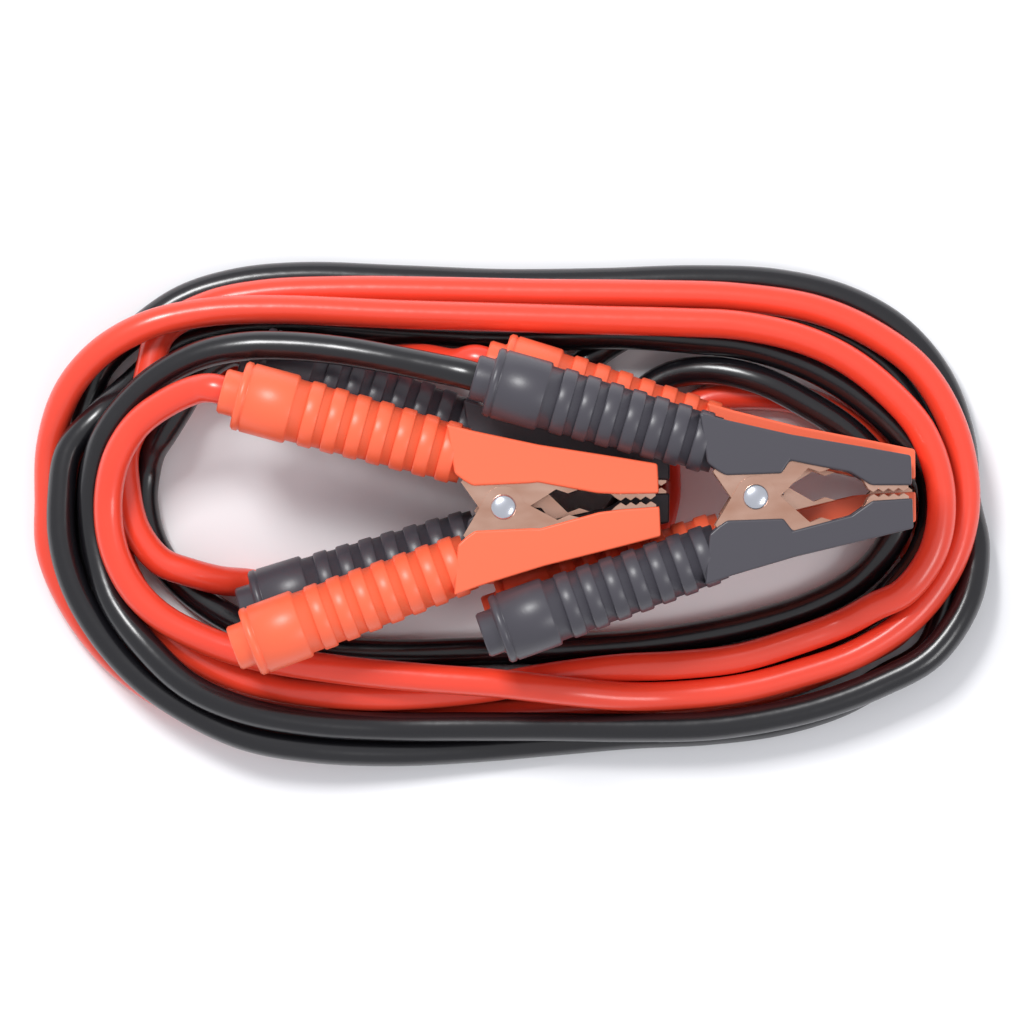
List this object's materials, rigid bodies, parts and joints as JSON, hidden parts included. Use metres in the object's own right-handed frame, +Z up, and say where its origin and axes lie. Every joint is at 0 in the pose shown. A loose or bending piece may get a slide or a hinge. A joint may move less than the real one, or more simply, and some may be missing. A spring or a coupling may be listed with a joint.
{
  "type": "car jumper cable",
  "caption": "Set of jumper leads coiled flat: a red and a black sheathed cable, each with a sprung, copper-jawed clamp on both ends.",
  "frame": {"origin": "on the floor, under the middle of the coil", "axes": "+X along the coil's length, towards the clamps' noses; +Z up from the floor"},
  "size_m": [0.329, 0.1738, 0.0687],
  "materials": {
    "red_grip": "satin",
    "black_grip": "satin",
    "red_sheath": "semi-gloss",
    "black_sheath": "semi-gloss",
    "copper_plate": "copper plated",
    "zinc_plate": "bright zinc plated"
  },
  "bodies": {
    "set": {"red_top_upper_jaw": "copper_plate", "red_top_upper_grip": "red_grip", "red_top_rivet": "zinc_plate", "red_top_spring": "zinc_plate", "black_top_upper_jaw": "copper_plate", "black_top_upper_grip": "black_grip", "black_top_rivet": "zinc_plate", "black_top_spring": "zinc_plate", "black_low_upper_jaw": "copper_plate", "black_low_upper_grip": "black_grip", "black_low_rivet": "zinc_plate", "black_low_spring": "zinc_plate", "red_low_upper_jaw": "copper_plate", "red_low_upper_grip": "red_grip", "red_low_rivet": "zinc_plate", "red_low_spring": "zinc_plate", "red_cable": "red_sheath", "black_cable": "black_sheath"},
    "red_top_lower_half": {"red_top_lower_jaw": "copper_plate", "red_top_lower_grip": "red_grip"},
    "black_top_lower_half": {"black_top_lower_jaw": "copper_plate", "black_top_lower_grip": "black_grip"},
    "black_low_lower_half": {"black_low_lower_jaw": "copper_plate", "black_low_lower_grip": "black_grip"},
    "red_low_lower_half": {"red_low_lower_jaw": "copper_plate", "red_low_lower_grip": "red_grip"}
  },
  "joints": [
    {"name": "red_top_pivot", "type": "hinge", "parent": "set", "child": "red_top_lower_half", "pos_m": [-0.00286, 0.00238, 0.0492], "axis": [0, 0, -1], "range_deg": [0, 0.6]},
    {"name": "black_top_pivot", "type": "hinge", "parent": "set", "child": "black_top_lower_half", "pos_m": [0.08204, 0.00578, 0.0566], "axis": [0, 0, -1], "range_deg": [0, 0.6]},
    {"name": "black_low_pivot", "type": "hinge", "parent": "set", "child": "black_low_lower_half", "pos_m": [0.00114, 0.00988, 0.023], "axis": [0, 0, -1], "range_deg": [0, 0.6]},
    {"name": "red_low_pivot", "type": "hinge", "parent": "set", "child": "red_low_lower_half", "pos_m": [0.08459, 0.00918, 0.0308], "axis": [0, 0, -1], "range_deg": [0, 0.6]}
  ]
}
